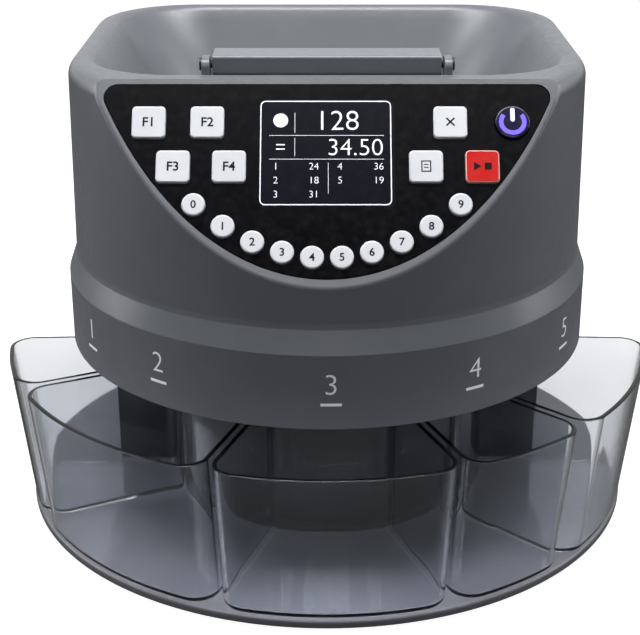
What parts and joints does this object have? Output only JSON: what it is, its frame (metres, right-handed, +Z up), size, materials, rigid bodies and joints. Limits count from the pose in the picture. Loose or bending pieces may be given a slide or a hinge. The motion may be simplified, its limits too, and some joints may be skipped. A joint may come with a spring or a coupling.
{
  "type": "coin sorting machine",
  "caption": "Table-top coin sorter: open hopper over a spinning feed disc, leaning keypad and display, and clear slide-out trays round the front for the sorted coins.",
  "frame": {"origin": "middle of the machine's footprint, on the table", "axes": "+X to the right seen from the front, +Y to the back, +Z up"},
  "size_m": [0.3582, 0.3194, 0.2625],
  "materials": {
    "housing_grey": "satin moulded plastic",
    "skirt_grey": "satin moulded plastic",
    "panel_black": "polished",
    "window_clear": "clear",
    "display_dark": "gloss",
    "key_white": "smooth",
    "key_red": "smooth",
    "key_power": "smooth",
    "tray_clear": "clear smoke tint",
    "base_dark": "satin",
    "core_black": "matt",
    "foot_rubber": "matt",
    "plain_steel": "brushed",
    "cast_aluminium": "turned",
    "gear_nylon": "moulded",
    "board_green": "lacquered board"
  },
  "bodies": {
    "chassis": {"upper_housing": "housing_grey", "hopper_bowl": "housing_grey", "skirt_ring": "skirt_grey", "panel_fascia": "panel_black", "display_window": "window_clear", "display_module": "display_dark", "base_plate": "base_dark", "core_drum": "core_black", "rear_tower": "core_black", "rear_cover": "core_black", "sorter_deck": "core_black", "disc_cover": "core_black", "power_inlet": "core_black", "data_port": "core_black", "sort_fence": "core_black", "coin_chutes": "core_black", "coin_sensors": "core_black", "rubber_feet": "foot_rubber", "panel_harness": "foot_rubber", "sort_plate": "plain_steel", "shaft_bearings": "plain_steel", "motor_bracket": "plain_steel", "drive_motor": "plain_steel", "chassis_screws": "plain_steel", "cover_screws": "plain_steel", "gate_pin": "plain_steel", "bearing_housing": "cast_aluminium", "main_board": "board_green", "power_supply_board": "board_green", "keypad_board": "board_green"},
    "disc": {"feed_disc": "cast_aluminium", "disc_mat": "foot_rubber", "disc_nut": "plain_steel", "disc_shaft": "plain_steel", "drive_gear": "gear_nylon"},
    "pinion": {"motor_pinion": "gear_nylon"},
    "gate": {"feed_gate": "housing_grey"},
    "tray_left": {"coin_tray_left": "tray_clear"},
    "tray_front_left": {"coin_tray_front_left": "tray_clear"},
    "tray_front": {"coin_tray_front": "tray_clear"},
    "tray_front_right": {"coin_tray_front_right": "tray_clear"},
    "tray_right": {"coin_tray_right": "tray_clear"},
    "function_key_1": {"function_key_1": "key_white"},
    "function_key_2": {"function_key_2": "key_white"},
    "function_key_3": {"function_key_3": "key_white"},
    "function_key_4": {"function_key_4": "key_white"},
    "clear_key": {"clear_key": "key_white"},
    "print_key": {"print_key": "key_white"},
    "start_stop_key": {"start_stop_key": "key_red"},
    "number_key_0": {"number_key_0": "key_white"},
    "number_key_1": {"number_key_1": "key_white"},
    "number_key_2": {"number_key_2": "key_white"},
    "number_key_3": {"number_key_3": "key_white"},
    "number_key_4": {"number_key_4": "key_white"},
    "number_key_5": {"number_key_5": "key_white"},
    "number_key_6": {"number_key_6": "key_white"},
    "number_key_7": {"number_key_7": "key_white"},
    "number_key_8": {"number_key_8": "key_white"},
    "number_key_9": {"number_key_9": "key_white"},
    "power_button": {"power_button": "key_power"}
  },
  "joints": [
    {"name": "disc_spin", "type": "hinge", "parent": "chassis", "child": "disc", "pos_m": [0, 0.02075, 0.118], "axis": [0, 0, 1], "continuous": true},
    {"name": "pinion_spin", "type": "hinge", "parent": "chassis", "child": "pinion", "pos_m": [0, 0.06135, 0.064], "axis": [0, 0, 1], "continuous": true},
    {"name": "gate_swing", "type": "hinge", "parent": "chassis", "child": "gate", "pos_m": [0, -0.03325, 0.2575], "axis": [1, 0, 0], "range_deg": [0, 80]},
    {"name": "tray_left_slide", "type": "slide", "parent": "chassis", "child": "tray_left", "axis": [-0.9701, -0.2428, 0], "range_m": [0, 0.11]},
    {"name": "tray_front_left_slide", "type": "slide", "parent": "chassis", "child": "tray_front_left", "axis": [-0.6678, -0.7443, 0], "range_m": [0, 0.11]},
    {"name": "tray_front_slide", "type": "slide", "parent": "chassis", "child": "tray_front", "axis": [0.0236, -0.9997, 0], "range_m": [0, 0.11]},
    {"name": "tray_front_right_slide", "type": "slide", "parent": "chassis", "child": "tray_front_right", "axis": [0.5657, -0.8246, 0], "range_m": [0, 0.11]},
    {"name": "tray_right_slide", "type": "slide", "parent": "chassis", "child": "tray_right", "axis": [0.9215, -0.3883, 0], "range_m": [0, 0.11]},
    {"name": "function_key_1_press", "type": "slide", "parent": "chassis", "child": "function_key_1", "axis": [0, 0.8039, -0.5948], "range_m": [0, 0.0012], "stiffness_N_per_m": 500},
    {"name": "function_key_2_press", "type": "slide", "parent": "chassis", "child": "function_key_2", "axis": [0, 0.8039, -0.5948], "range_m": [0, 0.0012], "stiffness_N_per_m": 500},
    {"name": "function_key_3_press", "type": "slide", "parent": "chassis", "child": "function_key_3", "axis": [0, 0.8039, -0.5948], "range_m": [0, 0.0012], "stiffness_N_per_m": 500},
    {"name": "function_key_4_press", "type": "slide", "parent": "chassis", "child": "function_key_4", "axis": [0, 0.8039, -0.5948], "range_m": [0, 0.0012], "stiffness_N_per_m": 500},
    {"name": "clear_key_press", "type": "slide", "parent": "chassis", "child": "clear_key", "axis": [0, 0.8039, -0.5948], "range_m": [0, 0.0012], "stiffness_N_per_m": 500},
    {"name": "print_key_press", "type": "slide", "parent": "chassis", "child": "print_key", "axis": [0, 0.8039, -0.5948], "range_m": [0, 0.0012], "stiffness_N_per_m": 500},
    {"name": "start_stop_key_press", "type": "slide", "parent": "chassis", "child": "start_stop_key", "axis": [0, 0.8039, -0.5948], "range_m": [0, 0.0012], "stiffness_N_per_m": 500},
    {"name": "number_key_0_press", "type": "slide", "parent": "chassis", "child": "number_key_0", "axis": [0, 0.8039, -0.5948], "range_m": [0, 0.0012], "stiffness_N_per_m": 500},
    {"name": "number_key_1_press", "type": "slide", "parent": "chassis", "child": "number_key_1", "axis": [0, 0.8039, -0.5948], "range_m": [0, 0.0012], "stiffness_N_per_m": 500},
    {"name": "number_key_2_press", "type": "slide", "parent": "chassis", "child": "number_key_2", "axis": [0, 0.8039, -0.5948], "range_m": [0, 0.0012], "stiffness_N_per_m": 500},
    {"name": "number_key_3_press", "type": "slide", "parent": "chassis", "child": "number_key_3", "axis": [0, 0.8039, -0.5948], "range_m": [0, 0.0012], "stiffness_N_per_m": 500},
    {"name": "number_key_4_press", "type": "slide", "parent": "chassis", "child": "number_key_4", "axis": [0, 0.8039, -0.5948], "range_m": [0, 0.0012], "stiffness_N_per_m": 500},
    {"name": "number_key_5_press", "type": "slide", "parent": "chassis", "child": "number_key_5", "axis": [0, 0.8039, -0.5948], "range_m": [0, 0.0012], "stiffness_N_per_m": 500},
    {"name": "number_key_6_press", "type": "slide", "parent": "chassis", "child": "number_key_6", "axis": [0, 0.8039, -0.5948], "range_m": [0, 0.0012], "stiffness_N_per_m": 500},
    {"name": "number_key_7_press", "type": "slide", "parent": "chassis", "child": "number_key_7", "axis": [0, 0.8039, -0.5948], "range_m": [0, 0.0012], "stiffness_N_per_m": 500},
    {"name": "number_key_8_press", "type": "slide", "parent": "chassis", "child": "number_key_8", "axis": [0, 0.8039, -0.5948], "range_m": [0, 0.0012], "stiffness_N_per_m": 500},
    {"name": "number_key_9_press", "type": "slide", "parent": "chassis", "child": "number_key_9", "axis": [0, 0.8039, -0.5948], "range_m": [0, 0.0012], "stiffness_N_per_m": 500},
    {"name": "power_button_press", "type": "slide", "parent": "chassis", "child": "power_button", "axis": [0, 0.8039, -0.5948], "range_m": [0, 0.0012], "stiffness_N_per_m": 500}
  ],
  "couplings": [
    {"joint": "pinion_spin", "follows": "disc_spin", "ratio": -3.5}
  ]
}
